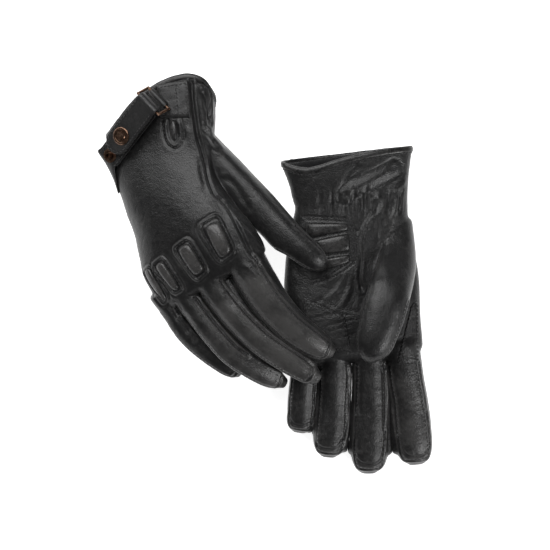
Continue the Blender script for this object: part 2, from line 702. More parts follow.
for side, sk in SKIN.items():
    P = sk.V
    D = np.full(len(P), 8.0)
    for k, L, N, u, v in SEAMS[side]:
        for r in split_runs(L):
            D = np.minimum(D, seg_dist(P, L[r], 6.0))
    sk.seam_d = D
    # soft hand: broad lumps, small wrinkles and thin creases
    disp = 0.30 * noise(P, 19, 3) + 0.12 * noise(P, 8.5, 5) + 0.05 * noise(P, 3.6, 8)
    warp = P + 2.2 * np.stack([noise(P, 9, 11), noise(P, 9, 12), noise(P, 9, 13)], 1)
    cr = 1 - np.abs(noise(warp, [11, 7, 9], 17))
    disp -= 0.14 * np.clip((cr - 0.84) / 0.16, 0, 1) ** 1.5 * np.clip(noise(P, 30, 23) + 0.5, 0, 1)
    sp = seam_profile(D)
    sk.apply(disp + sp, np.clip(sp / 0.5, 0, 1) * 0.6)


# ---- pieces ----------------------------------------------------------------------------
def tidy(F, lab, least=90):
    """Hands tiny islands of a label over to the label that surrounds them."""
    m = F.shape[1]
    e = np.sort(np.concatenate([np.stack([F[:, j], F[:, (j + 1) % m]], 1) for j in range(m)]), axis=1).astype(np.int64)
    own = np.tile(np.arange(len(F)), m)
    key = e[:, 0] * (F.max() + 1) + e[:, 1]
    o = np.argsort(key, kind="stable")
    hit = np.where((key[o][1:] == key[o][:-1]) & (e[o][1:, 0] != e[o][1:, 1]))[0]
    a, b = own[o][hit], own[o][hit + 1]
    for _ in range(3):
        same = lab[a] == lab[b]
        par = np.arange(len(F))
        while True:
            low = np.minimum(par[a[same]], par[b[same]])
            q = par.copy()
            np.minimum.at(q, a[same], low)
            np.minimum.at(q, b[same], low)
            np.minimum.at(q, par[a[same]], low)
            np.minimum.at(q, par[b[same]], low)
            q = q[q]
            if (q == par).all():
                break
            par = q
        small = np.bincount(par, minlength=len(F))[par] < least
        if not small.any():
            break
        x, y = np.r_[a, b], np.r_[b, a]
        k = small[x] & (lab[x] != lab[y])
        ids, n = np.unique(par[x[k]].astype(np.int64) * 100 + lab[y[k]], return_counts=True)
        best = {}
        for c, w in zip(ids, n):
            if w > best.get(c // 100, (0, 0))[0]:
                best[c // 100] = (w, c % 100)
        for c, (w, l) in best.items():
            lab = np.where(par == c, l, lab)
        lab = np.where(small & ~np.isin(par, list(best)), 40, lab)
    return lab


def skin_pieces(side, sk):
    V, F = sk.V, sk.F
    N = vnormals(V, F)
    hand = side + "_hand"
    uh, vh, qh, _ = sk.loc["hand"]
    cut = (sk.digit < 0) & (uh < edge_u(side, vh))
    keep = ~cut[F].any(1)
    fd = np.median(sk.digit[F], axis=1).astype(int)
    fd = np.where((sk.digit[F] == fd[:, None]).sum(1) >= 3, fd, -1)

    def piece(name, mask, mat):
        f = F[mask & keep]
        if not len(f):
            return None
        ids, inv = np.unique(f, return_inverse=True)
        return build(name, V[ids], inv.reshape(f.shape), mat, N[ids], sk.wear[ids])

    vr = (vh if side == "right" else 360 - vh) % 360
    back = ((vr > 45) & (vr < 180))
    ut, _, qt, _ = sk.loc["thumb"]
    is_thumb = (ut > 0.25) & (qt < qh) & (sk.digit < 0)
    ff = np.zeros(len(V), bool)
    for k in FN:
        u, v, q, _ = sk.loc[k]
        sv = ((v < 40) | (v > 320) | ((v > 140) & (v < 220)))
        ff |= sv & (u > 0.5) & (q < 1.4) & (q < qh) & (sk.digit < 0)
    fb, ft, f4 = back[F].mean(1) > 0.5, is_thumb[F].mean(1) > 0.5, ff[F].mean(1) > 0.5
    lab = np.where(ft, 1, np.where(f4, 0, np.where(fb, 2, 3)))
    for i, k in enumerate(DIGITS):
        u, v, q, _ = sk.loc[k]
        sv = ((v < 40) | (v > 320) | ((v > 140) & (v < 220))) & (u < 5.0) & (k != "thumb")
        lab = np.where(fd == i, 10 + 2 * i + (sv[F].mean(1) > 0.5), lab)
    lab = tidy(F, np.where(keep, lab, 40))
    for j, name in enumerate(("hand_fourchettes", "thumb_base", "back_panel", "palm_panel")):
        m = lab == j
        ob = piece(f"{side}_{name}_skin", m, M_PALM if name == "palm_panel" else M_LEATHER)
        place(ob, hand, [f"{side}_{name}"])
    for i, k in enumerate(DIGITS):
        u, v, q, _ = sk.loc[k]
        if k == "thumb":
            ob = piece(f"{side}_thumb_tip_skin", lab == 10 + 2 * i, M_LEATHER)
            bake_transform(ob)
            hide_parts(f"{side}_thumb_tip")
            continue
        for name, m in ((f"{k}_panels", lab == 10 + 2 * i), (f"{k}_fourchettes", lab == 11 + 2 * i)):
            ob = piece(f"{side}_{name}_skin", m, M_LEATHER)
            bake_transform(ob)
            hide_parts(f"{side}_{name}")


# ---- cuff, lining, pads, strap and hardware ---------------------------------------------
def grid_faces(n, m, closed_m=False, off=0, flip=False):
    i, j = np.meshgrid(np.arange(n - 1), np.arange(m if closed_m else m - 1), indexing="ij")
    k = (j + 1) % m
    f = np.stack([i * m + j, (i + 1) * m + j, (i + 1) * m + k, i * m + k], -1).reshape(-1, 4) + off
    return f[:, ::-1] if flip else f


def fix_out(V, F):
    """Quads turned so that a closed form faces outwards."""
    c = V.mean(0)
    a, b, d = V[F[:, 0]] - c, V[F[:, 1]] - c, V[F[:, 2]] - c
    e = V[F[:, 3]] - c
    vol = (a * np.cross(b, d)).sum() + (a * np.cross(d, e)).sum()
    return F[:, ::-1].copy() if vol < 0 else F


def section_sweep(C, A, B, ra, rb, k=20, n=2.0, loop=False):
    """Closed sweep of a superellipse section; A and B are its axes at each station."""
    th = np.linspace(0, 2 * np.pi, k, endpoint=False)
    ca, sb = spow(np.cos(th), 2 / n), spow(np.sin(th), 2 / n)
    ra, rb = np.broadcast_to(ra, len(C)), np.broadcast_to(rb, len(C))
    V = C[:, None] + A[:, None] * (ra[:, None] * ca)[..., None] + B[:, None] * (rb[:, None] * sb)[..., None]
    m = len(C)
    if loop:
        V = np.concatenate([V, V[:1]])
        F = grid_faces(m + 1, k, True) % (m * k)
        V = V[:m].reshape(-1, 3)
        return V, fix_out(V, F)
    V = np.concatenate([np.repeat(C[:1, None], k, 1) * 0.98 + V[:1] * 0.02, V, np.repeat(C[-1:, None], k, 1) * 0.98 + V[-1:] * 0.02])
    V = V.reshape(-1, 3)
    return V, fix_out(V, grid_faces(m + 2, k, True))


def merge(parts):
    V, F, o = [], [], 0
    for v, f in parts:
        V.append(v)
        F.append(f + o)
        o += len(v)
    return np.vstack(V), np.vstack(F)


def cr_interp(P, n):
    P = np.asarray(P, float)
    u = np.linspace(0, len(P) - 1, n)
    ext = np.concatenate([[2 * P[0] - P[1]], P, [2 * P[-1] - P[-2]]])
    i = np.clip(np.floor(u).astype(int), 0, len(P) - 2)
    t = (u - i).reshape(-1, *([1] * (P.ndim - 1)))
    a, b, c, d = ext[i], ext[i + 1], ext[i + 2], ext[i + 3]
    return 0.5 * (2 * b + (c - a) * t + (2 * a - 5 * b + 4 * c - d) * t * t + (3 * b - a - 3 * c + d) * t ** 3)


def lin_interp(P, n):
    P = np.asarray(P, float)
    u = np.linspace(0, len(P) - 1, n)
    i = np.clip(np.floor(u).astype(int), 0, len(P) - 2)
    t = (u - i).reshape(-1, *([1] * (P.ndim - 1)))
    return P[i] * (1 - t) + P[i + 1] * t


def ribbon3(Ls, Rs, t, n=60, k=28, sq=5.0, cap=None):
    """Strap with rounded edges through pairs of edge points."""
    L, R = cr_interp(Ls, n), cr_interp(Rs, n)
    C = (L + R) / 2
    A = (R - L) / 2
    w = np.linalg.norm(A, axis=1)
    A = unit(A)
    T = unit(np.gradient(C, axis=0))
    B = unit(np.cross(T, A))
    if cap is not None:
        w = w * cap(np.linspace(0, 1, n))
    return section_sweep(C, A, B, w, t / 2, k, sq)


def squircle(n, m, k=0.35):
    s, t = np.meshgrid(np.linspace(-1, 1, n), np.linspace(-1, 1, m), indexing="ij")
    return s, t, s * np.sqrt(1 - k * t * t / 2), t * np.sqrt(1 - k * s * s / 2)


def box_blur(A, it=2):
    for _ in range(it):
        p = np.pad(A, ((1, 1), (1, 1), (0, 0)), mode="edge")
        A = (p[1:-1, 1:-1] * 2 + p[:-2, 1:-1] + p[2:, 1:-1] + p[1:-1, :-2] + p[1:-1, 2:]) / 6
    return A


def pad_from(sk, O, D, h, p=3.0, sink=0.9, far=300, base=0.0, amp=0.0, seed=1, soft=3):
    """Crowned closed pad lying on the skin; returns points, quads, wear and its top grid."""
    n, m = O.shape[:2]
    P, N, ok = sk.cast(O.reshape(-1, 3), D.reshape(-1, 3), far)
    P, N, ok = P.reshape(n, m, 3), N.reshape(n, m, 3), ok.reshape(n, m)
    for _ in range(max(n, m)):
        if ok.all():
            break
        for ax in (0, 1):
            for sh in (1, -1):
                take = ~ok & np.roll(ok, sh, ax)
                P[take] = np.roll(P, sh, ax)[take]
                N[take] = np.roll(N, sh, ax)[take]
                ok = ok | take
    P = box_blur(P, soft)
    N = unit(box_blur(N, 6))
    s, t = np.meshgrid(np.linspace(-1, 1, n), np.linspace(-1, 1, m), indexing="ij")
    prof = np.clip((1 - np.abs(s) ** p) * (1 - np.abs(t) ** p), 0, 1) ** 0.55
    hh = base + h * prof
    if amp:
        hh = hh + amp * prof * noise(P.reshape(-1, 3), 4.5, seed).reshape(n, m)
    top = P + N * hh[..., None]
    bot = P - N * sink
    V = np.vstack([top.reshape(-1, 3), bot.reshape(-1, 3)])
    M = n * m
    F = [grid_faces(n, m), grid_faces(n, m, off=M, flip=True)]
    loop = np.r_[np.arange(m), np.arange(1, n) * m + m - 1, (n - 1) * m + np.arange(m - 2, -1, -1), np.arange(n - 2, 0, -1) * m]
    nx = np.roll(loop, -1)
    F.append(np.stack([loop, nx, nx + M, loop + M], 1))
    F = np.vstack(F)
    F2 = F.copy()
    # side walls share the top's turn
    a = V[F[0, 0]]; nn = np.cross(V[F[0, 1]] - a, V[F[0, 3]] - a)
    if (nn * N[0, 0]).sum() < 0:
        F2 = F2[:, ::-1].copy()
    wear = np.r_[np.clip(prof.ravel() * 0.45, 0, 1), np.zeros(M)]
    return V, F2, wear, top, N


def px_rays(corners, n, m, k=0.35):
    """Downward rays over a four-cornered layout patch; corners in order round it."""
    c = np.asarray(corners, float)
    s, t, a, b = squircle(n, m, k)
    a, b = (a + 1) / 2, (b + 1) / 2
    q = (c[0] * ((1 - a) * (1 - b))[..., None] + c[1] * (a * (1 - b))[..., None]
         + c[2] * (a * b)[..., None] + c[3] * ((1 - a) * b)[..., None])
    O = np.stack([(q[..., 0] - OX) * STEP, (OY - q[..., 1]) * STEP, np.full(q.shape[:2], 150.0)], -1)
    return O, np.broadcast_to(np.array([0, 0, -1.0]), O.shape).copy()


def uv_rays(side, w, n, m, k=0.35, key="hand"):
    """Rays towards the hand over a window of rows and angles, given for the right glove."""
    s, t, a, b = squircle(n, m, k)
    u = w[0] + (w[1] - w[0]) * (a + 1) / 2
    v = w[2] + (w[3] - w[2]) * (b + 1) / 2
    if side == "left":
        v = 360 - v
    A = pt(TAB[side][key], u, v, 9.0, REACH[side])
    B = pt(TAB[side][key], u, v, -2.0, REACH[side])
    return A, unit(B - A)


def stitch_loop(sk, key, O, D, far=300, inset=0.9, **kw):
    """Stitches round the edge of a patch of rays."""
    n, m = O.shape[:2]
    s = np.linspace(0, 1, 60)

    def at(a, b):
        i, j = (a * 0.5 + 0.5) * (n - 1), (b * 0.5 + 0.5) * (m - 1)
        i0, j0 = min(int(i), n - 2), min(int(j), m - 2)
        f, g = i - i0, j - j0
        return (O[i0, j0] * (1 - f) * (1 - g) + O[i0 + 1, j0] * f * (1 - g) + O[i0, j0 + 1] * (1 - f) * g + O[i0 + 1, j0 + 1] * f * g,
                D[i0, j0])
    path = [at(-inset + 2 * inset * x, -inset) for x in s] + [at(inset, -inset + 2 * inset * x) for x in s] + \
           [at(inset - 2 * inset * x, inset) for x in s] + [at(-inset, inset - 2 * inset * x) for x in s]
    P, N, ok = sk.cast([p[0] for p in path], [p[1] for p in path], far)
    add_stitch(key, P[ok], N[ok], **kw)


def relief(sk, L, depth, s, lift=0.0, off=0.0, s2=1.0, reach=8.0, wear=0.12):
    d = seg_dist(sk.V, L, reach)
    g = -depth * gauss(d, s) + (lift * gauss(d - off, s2) if lift else 0)
    g[d >= reach - 1e-6] = 0
    if len(L) > 3 and np.linalg.norm(L[0] - L[-1]) > 6.0:
        t = max(3.0, 2.2 * s)
        q = np.minimum(np.linalg.norm(sk.V - L[0], axis=1), np.linalg.norm(sk.V - L[-1], axis=1))
        q = np.clip(q / t, 0, 1)
        g = g * q * q * (3 - 2 * q)
    sk.apply(g, np.clip(g, 0, 1) * wear)


# small corrections of the outline
def nudge(sk, cx, cy, rx, ry, d, mm):
    x, y = sk.V[:, 0] / STEP + OX, OY - sk.V[:, 1] / STEP
    d = np.array([d[0], -d[1]], float)
    d = d / np.linalg.norm(d)
    f = np.clip((sk.N[:, :2] @ d) * 1.6 + 0.1, 0, 1)
    w = np.exp(-((x - cx) / rx) ** 2 - ((y - cy) / ry) ** 2) * f * mm
    sk.V[:, :2] += w[:, None] * d


R_, L_ = SKIN["right"], SKIN["left"]
for k, mm in (("ring_finger", 3.4), ("little", 1.3)):
    t = np.clip((R_.loc[k][0] - 2.8) / 2.0, 0, 1) * (R_.stall == FN.index(k))
    R_.V[:, :2] += (t * t * (3 - 2 * t) * mm)[:, None] * np.array([0.80, -0.60])
nudge(R_, 134, 233, 14, 15, (-0.96, 0.26), -1.5)
nudge(R_, 144, 274, 14, 13, (-0.95, 0.31), 2.2)
nudge(R_, 165, 322, 16, 16, (-0.78, 0.62), -1.7)
nudge(R_, 110, 178, 16, 20, (-0.9, 0.4), 1.6)
nudge(R_, 273, 247, 15, 10, (-0.5, 0.87), 2.2)
nudge(L_, 420, 345, 14, 38, (1, 0), 1.6)
nudge(L_, 428, 420, 14, 40, (1, 0), 1.0)
nudge(L_, 292, 202, 14, 12, (-1, 0), 2.6)
for sk in (R_, L_):
    sk.N = vnormals(sk.V, sk.F)
    sk.tree()

# layout lines on the visible faces: grooves, seams, folds
radial = [(192, 80), (192.4, 94), (194, 110), (196, 125), (199, 140), (202, 150), (206, 165), (209, 180), (215, 195),
          (222, 201), (232, 215), (241, 233), (249, 250), (257, 262)]
P, N = R_.line(radial)
relief(R_, P, 1.25, 1.05, 0.75, 2.7, 1.3)
P2, N2 = R_.line([(x - 3.2, y + 0.4) for x, y in radial])
add_stitch("right_hand", P2, N2)
P, N = R_.line([(257, 262), (266, 275), (278, 290), (292, 304), (308, 319)])
relief(R_, P, 0.7, 0.9, 0.35, 2.4, 1.2)
thumb_join = [(205, 152), (214, 147), (222, 144)]
webs_r = [[(240, 294), (233, 284), (226.5, 275), (222.5, 275), (223, 282), (229, 292)],
          [(222, 320), (213, 308), (206, 298), (202, 297.5), (202, 303), (207, 314)],
          [(193, 328), (184, 315), (178, 304), (174, 302.5), (173.5, 308), (178, 318)]]
for w in webs_r:
    P, N = R_.line(w)
    relief(R_, P, -0.45, 0.9)
# knuckle borders: a stitched channel round each pad
KN = [([(206, 228), (219, 222), (232, 250), (221, 258)], [(197, 227), (218, 214), (236, 252), (220, 264)]),
      ([(179, 250), (189, 244), (204, 269), (195, 275)], [(172, 249), (189, 237), (209, 271), (196, 282)]),
      ([(156, 267), (163, 262), (179, 287), (174, 290)], [(151, 266), (163, 256), (184, 289), (174, 295)]),
      ([(145, 273), (150, 269), (166, 297), (163, 301)], [(142, 272), (150, 265), (169, 298), (163, 305)])]


def round_loop(c, r=0.24, n=10):
    """Closed loop through four corners with rounded turns."""
    c = np.asarray(c, float)
    out = []
    for i in range(4):
        p, a, b = c[i], c[i - 1], c[(i + 1) % 4]
        s, e = p + (a - p) * r, p + (b - p) * r
        t = np.linspace(0, 1, n)[:, None]
        out.append((1 - t) ** 2 * s + 2 * t * (1 - t) * p + t * t * e)
    out = np.vstack(out)
    return np.vstack([out, out[:1]])


KN = [([tuple(np.mean(i, 0) + 1.2 * (np.array(c) - np.mean(i, 0))) for c in i], b) for i, b in KN]
for inner, border in KN:
    loop = round_loop(border)
    P, N, ok = R_.drop(resample(loop, 0.8))
    relief(R_, P[ok], -0.75, 1.05, -0.55, 2.2, 0.9)
    mid = (np.array(inner) + np.array(border)) / 2
    P, N, ok = R_.drop(resample(round_loop(mid), 0.8))
    relief(R_, P[ok], 0.45, 0.9, wear=0)
    add_stitch("right_hand", P[ok], N[ok], lift=-0.15)

# vent lens on the right cuff
vent_in = [(171, 121), (176, 124), (178.4, 133), (176, 141), (171.5, 139), (168.5, 130)]
vent_u = [(165.5, 122), (166.5, 133), (169.5, 142), (176, 146), (181, 138), (180.5, 128), (178.5, 121)]
P, N = R_.line(vent_u)
relief(R_, P, -0.7, 1.2, -0.5, 2.5, 0.9)
P, N = R_.line([(x, y) for x, y in [(162, 122), (163.5, 136), (168, 146), (177, 150), (184, 141), (184, 128)]])
relief(R_, P, 0.45, 0.8)
add_stitch("right_hand", *R_.line([(163.8, 123), (165, 135), (169, 144), (176.5, 148), (182.6, 140), (182.4, 128)]))
# rolled rim at the thumb end of the cuff
P, N = R_.line([(197, 80.5), (204, 84), (209, 90), (211, 98), (210.5, 108), (208.5, 118)])
relief(R_, P, 1.0, 0.8, 0.5, 2.2, 1.0)
# folded cuff corner and soft folds beside the seam
P, N = R_.line([(203, 91), (206, 100), (208, 110), (210, 124)])
relief(R_, P, 1.3, 1.6, 0.7, 4.0, 1.8)
P, N = R_.line([(187, 124), (191, 135), (196, 150), (197, 165), (199, 180), (205, 192)])
relief(R_, P, -0.7, 3.2)
P, N = R_.line([(205, 131), (212, 140), (218, 149)])
relief(R_, P, 0.9, 1.6, 0.5, 4, 2)
P, N = R_.line([(222, 175), (235, 186), (246, 204), (250, 215)])
relief(R_, P, 0.8, 3.0)
P, N = R_.line([(228, 205), (243, 222), (258, 238), (268, 252)])
relief(R_, P, 0.8, 1.4, 0.4, 3.4, 1.6)
for a in ([(240, 264), (252, 270), (262, 282)], [(236, 272), (246, 280), (256, 293)], [(214, 277), (221, 288), (226, 301)]):
    P, N = R_.line(a)
    relief(R_, P, -0.4, 2.0)

# left palm: thumb seam, wrist gathers, folds and wrinkles
tseam = [(372, 214), (365, 224), (361.5, 241), (361, 259), (359.5, 278), (362, 290)]
P, N = L_.line(tseam)
relief(L_, P, 0.9, 0.9, 0.35, 2.4, 1.2)
for off in (-3.6, 3.0):
    add_stitch("left_hand", *L_.line([(x + off, y) for x, y in tseam]))
px = np.stack([L_.V[:, 0] / STEP + OX, OY - L_.V[:, 1] / STEP], 1)
upw = np.clip(L_.N[:, 2] * 1.4, 0, 1)
xw = px[:, 0] + 3.0 * noise(L_.V, [8, 14, 20], 31) + 0.10 * (px[:, 1] - 200)
band = np.exp(-((px[:, 1] - 203) / 11) ** 2) * np.clip((px[:, 0] - 300) / 40, 0, 1)
gath = np.sin(xw * 2 * np.pi / 11.5) * 0.5 + np.sin(xw * 2 * np.pi / 6.7 + 1.3) * 0.3
L_.apply(upw * band * (1.75 * gath - 0.6), upw * band * np.clip(gath, 0, 1) * 0.15)
bandb = np.exp(-((px[:, 1] - 203) / 13) ** 2) * np.clip(-L_.N[:, 2] * 1.4, 0, 1)
L_.apply(bandb * 0.45 * np.sin(xw * 2 * np.pi / 9.0))
P, N = L_.line([(345, 196), (353, 189), (365, 183), (380, 176), (394, 168)])
relief(L_, P, -0.9, 3.4, -0.4, 6.8, 2.6)
P, N = L_.line([(396, 192), (402, 185), (407, 177)])
relief(L_, P, -0.8, 2.2)
P, N = L_.line([(342, 194), (344, 184), (352, 172), (362, 163)])
relief(L_, P, 0.7, 3.4)
for a in ([(352, 200), (356, 212), (358, 226)], [(362, 197), (366, 207), (366, 216)], [(378, 203), (383, 216), (386, 230), (386, 242)],
          [(393, 198), (396, 208), (394, 218)], [(371, 200), (376, 212), (378, 226), (377, 240)]):
    P, N = L_.line(a)
    relief(L_, P, -0.45, 1.9, -0.22, 4.0, 1.5)
for a in ([(346, 264), (338, 274), (326, 284)], [(349, 266), (343, 280), (334, 296)], [(352, 268), (350, 284), (345, 302)],
          [(344, 262), (332, 268), (318, 273)], [(340, 286), (330, 296), (321, 304)], [(350, 290), (341, 305), (330, 312)],
          [(356, 284), (359, 296), (356, 308)]):
    P, N = L_.line(a)
    relief(L_, P, -0.26, 1.7, -0.12, 3.4, 1.4)
P, N = L_.line([(300, 226), (296, 250), (297, 280)])
relief(L_, P, 0.6, 4.0)

HEEL = [[(303, 219.5), (328, 220.5), (346, 222), (350, 226), (352, 240), (352.5, 252), (350.5, 261), (340, 268.5), (326, 276), (311, 281)],
        [(300, 216.5), (328, 217.5), (347, 219), (353, 224), (355, 240), (355.5, 253), (353.5, 263), (342, 271.5), (328, 279), (312, 284)],
        [(308, 239.6), (328, 235.3), (348, 231.2)], [(319, 257), (334, 254.6), (350, 252.6)]]
for a in HEEL:
    P, N = L_.line(a)
    relief(L_, P, 0.45, 0.9, wear=0)
# full leather over the root of the thumb
P, N = L_.line([(392, 206), (390, 226), (386, 250), (380, 276)])
relief(L_, P, -1.3, 5.0, reach=16.0, wear=0.2)
# stitched rows of the palm patch
for a in ([(304, 309), (321, 300), (339, 308), (357, 311)], [(312, 319), (332, 314), (356, 315)], [(326, 326), (356, 319)],
          [(329, 331), (354, 325)], [(336, 338), (356, 334)]):
    P, N = L_.line(a)
    relief(L_, P, 0.24, 0.8, wear=0)
    add_stitch("left_hand", P, N, lift=0.0)
# rubbed faces of the fingers
for side, k, a in (("right", "index", 1.15), ("right", "middle", 1.1), ("right", "ring_finger", 0.7), ("left", "index", 0.62),
                   ("left", "middle", 0.12), ("left", "ring_finger", 0.12)):
    sk = SKIN[side]
    u, v, q, _ = sk.loc[k]
    own = (sk.stall == FN.index(k)) * np.clip((u - 0.5) / 0.6, 0, 1)
    sk.wear = sk.wear + own * a * np.clip(np.sin(np.radians(v)), 0, 1) ** 1.5 * (0.8 + 0.4 * noise(sk.V, 9, 71))
# finger creases across the visible faces
for side, sk in SKIN.items():
    for k in FN:
        u, v, q, _ = sk.loc[k]
        own = (sk.digit == FN.index(k)) & (v > 35) & (v < 145)
        wob = 0.14 * noise(sk.V, 7, 41)
        for u0, a in ((2.12, 0.34), (2.34, 0.22), (3.42, 0.30), (3.62, 0.20), (4.3, 0.14)):
            g = own * a * (0.3 if side == "right" else 0.42) * np.exp(-((u + wob - u0) / 0.085) ** 2) * np.sin(np.radians(v)) ** 2
            sk.apply(-g)
    sk.tree()

# seamed rim round each finger's palm panel
for a in ([(289.5, 394), (289.5, 414), (292.5, 423), (301, 426), (310, 423), (313.7, 414), (314, 396)],
          [(322, 366), (318, 402), (315, 436), (317, 444.5), (327.5, 449), (339.5, 445), (345.5, 430), (349, 407), (348.6, 370)],
          [(356.4, 369), (357.2, 395), (356, 432), (355.6, 454), (359, 461.5), (370, 465), (380, 461.5), (383.6, 450), (384, 420), (383.6, 384), (382.6, 370)],
          [(388, 372), (391, 395), (396.5, 427), (402.5, 449), (410, 456), (421.5, 456), (428.5, 449), (429, 432), (424.5, 407), (420.5, 384)]):
    P, N = L_.line(a)
    relief(L_, P, 0.65, 0.75, 0.30, 2.2, 1.0, wear=0.3)
# fingertip pleats on the left palm side
for k, c in (("ring_finger", (328, 450)), ("middle", (368, 465)), ("index", (415, 456)), ("little", (299, 426))):
    P, N = L_.line([(c[0], c[1] - 4), (c[0] + 0.8, c[1] + 3)])
    relief(L_, P, 0.3, 0.6)
for side, sk in SKIN.items():
    sk.V = smooth(sk.V, sk.E, 1, 0.35)
    sk.N = vnormals(sk.V, sk.F)
    sk.tree()


for side, sk in SKIN.items():
    skin_pieces(side, sk)


def binding(side):
    tab = TAB[side]["hand"]
    v = np.linspace(0, 360, 300, endpoint=False)
    u = edge_u(side, v)
    C = pt(tab, u, v, 0.55)
    A = unit(pt(tab, u, v, 3.0) - pt(tab, u, v, 0.0))
    C2 = pt(tab, u + 0.03, v, 0.55)
    B = unit(C2 - C)
    B = unit(B - A * (A * B).sum(1, keepdims=True))
    nz = noise(C, 5.0, 61)
    V, F = section_sweep(C, A, B, 1.35 + 0.15 * nz, 2.5 + 0.2 * nz, 18, 2.4, loop=True)
    ob = build(f"{side}_cuff_binding_roll", V, F, M_SMOOTH, None, np.full(len(V), 0.25))
    place(ob, f"{side}_hand", [f"{side}_cuff_binding"])
    # a stitch row below the binding
    sk = SKIN[side]
    A2 = pt(tab, u + (0.09 if side == "left" else 0.11), v, 5.0)
    B2 = pt(tab, u + (0.09 if side == "left" else 0.11), v, -3.0)
    P, N, ok = sk.cast(A2, unit(B2 - A2), 14)
    add_stitch(f"{side}_hand", P[ok], N[ok])


def lining(side):
    tab = TAB[side]["hand"]
    v = np.linspace(0, 360, 120, endpoint=False)
    e = edge_u(side, v)
    rings = []
    for t in np.linspace(0, 1, 26):
        rings.append(pt(tab, e * (1 - t) + 2.4 * t, v, -1.3))
    for t in np.linspace(1, 0, 26):
        rings.append(pt(tab, e * (1 - t) + 2.4 * t, v, -2.1 - 1.2 * np.sin(np.pi * min(1, t * 3))))
    V = np.array(rings)
    n, m = V.shape[:2]
    V = V.reshape(-1, 3)
    V = V + unit(rng.normal(size=V.shape)) * 0.0
    F = grid_faces(n, m, True)
    F = np.vstack([F, np.stack([(n - 1) * m + np.arange(m), np.arange(m), (np.arange(m) + 1) % m, (n - 1) * m + (np.arange(m) + 1) % m], 1)])
    ob = build(f"{side}_lining_sleeve", V, fix_out(V, F), M_KNIT)
    place(ob, f"{side}_hand", [f"{side}_lining"])


def elastic(side):
    tab = TAB[side]["hand"]
    v = np.linspace(205, 335, 160)
    if side == "left":
        v = 360 - v[::-1]
    wave = 0.18 * np.sin(np.radians(v) * 60)
    Ls, Rs = pt(tab, 0.90, v, -0.85 + wave, REACH[side]), pt(tab, 1.16, v, -0.85 + wave, REACH[side])
    V, F = ribbon3(Ls, Rs, 0.6, 160, 16, 4.0)
    place(build(f"{side}_wrist_elastic_web", V, F, M_ELASTIC), f"{side}_hand", [f"{side}_wrist_elastic"])


def pads(side):
    sk = SKIN[side]
    hand = f"{side}_hand"
    parts, wears, foam = [], [], []
    if side == "right":
        rays = [px_rays(i, 34, 16, 0.5) for i, b in KN]
        rays = [(O.transpose(1, 0, 2), D.transpose(1, 0, 2)) for O, D in rays]
        hs = [3.0, 2.6, 2.2, 1.8]
    else:
        rays = [uv_rays(side, w, 18, 26, 0.4) for w in ((4.5, 5.45, 66, 86), (4.65, 5.55, 91, 108), (4.75, 5.6, 116, 141), (4.8, 5.6, 146, 167))]
        hs = [2.2, 2.0, 1.8, 1.6]
    for (O, D), h in zip(rays, hs):
        V, F, w, top, N = pad_from(sk, O, D, h, 3.0, amp=0.06)
        parts.append((V, F))
        wears.append(w)
        V2, F2, w2, _, _ = pad_from(sk, O[2:-2, 2:-2], D[2:-2, 2:-2], h * 0.55, 3.0, sink=0.2)
        foam.append((V2, F2))
        if side == "left":
            stitch_loop(sk, hand, O, D, inset=1.0, lift=0.2)
    V, F = merge(parts)
    ob = build(f"{side}_knuckle_pads_soft", V, F, M_SMOOTH, None, np.clip(np.concatenate(wears) * (2.0 if side == "right" else 1.0), 0, 1))
    place(ob, hand, [f"{side}_knuckle_pads"])
    V, F = merge(foam)
    ob = build(f"{side}_knuckle_foam_soft", V, F, M_FOAM)
    place(ob, hand, [f"{side}_knuckle_foam"])
    # heel of the palm: three ribs
    parts, wears, foam = [], [], []
    if side == "left":
        quads = [[(305, 222.3), (348.5, 223), (349.5, 230.4), (306, 238.5)], [(313, 240), (349.5, 232.4), (351, 251.6), (317, 255.6)],
                 [(322, 258.3), (350.5, 253.8), (350.5, 262.5), (324, 271)]]
        rays = [px_rays(q, 34, 16, 0.3) for q in quads]
    else:
        rays = [uv_rays(side, w, 14, 34, 0.3) for w in ((1.6, 2.0, 218, 268), (2.05, 2.48, 218, 268), (2.53, 2.95, 222, 268))]
    for O, D in rays:
        V, F, w, top, N = pad_from(sk, O, D, 2.3, 3.4, amp=0.08)
        parts.append((V, F))
        wears.append(w)
        V2, F2, w2, _, _ = pad_from(sk, O[2:-2, 2:-2], D[2:-2, 2:-2], 0.9, 2.4, sink=0.2)
        foam.append((V2, F2))
    V, F = merge(parts)
    ob = build(f"{side}_heel_pad_soft", V, F, M_SMOOTH, None, np.concatenate(wears))
    place(ob, hand, [f"{side}_heel_pad"])
    V, F = merge(foam)
    ob = build(f"{side}_heel_foam_soft", V, F, M_FOAM)
    place(ob, hand, [f"{side}_heel_foam"])


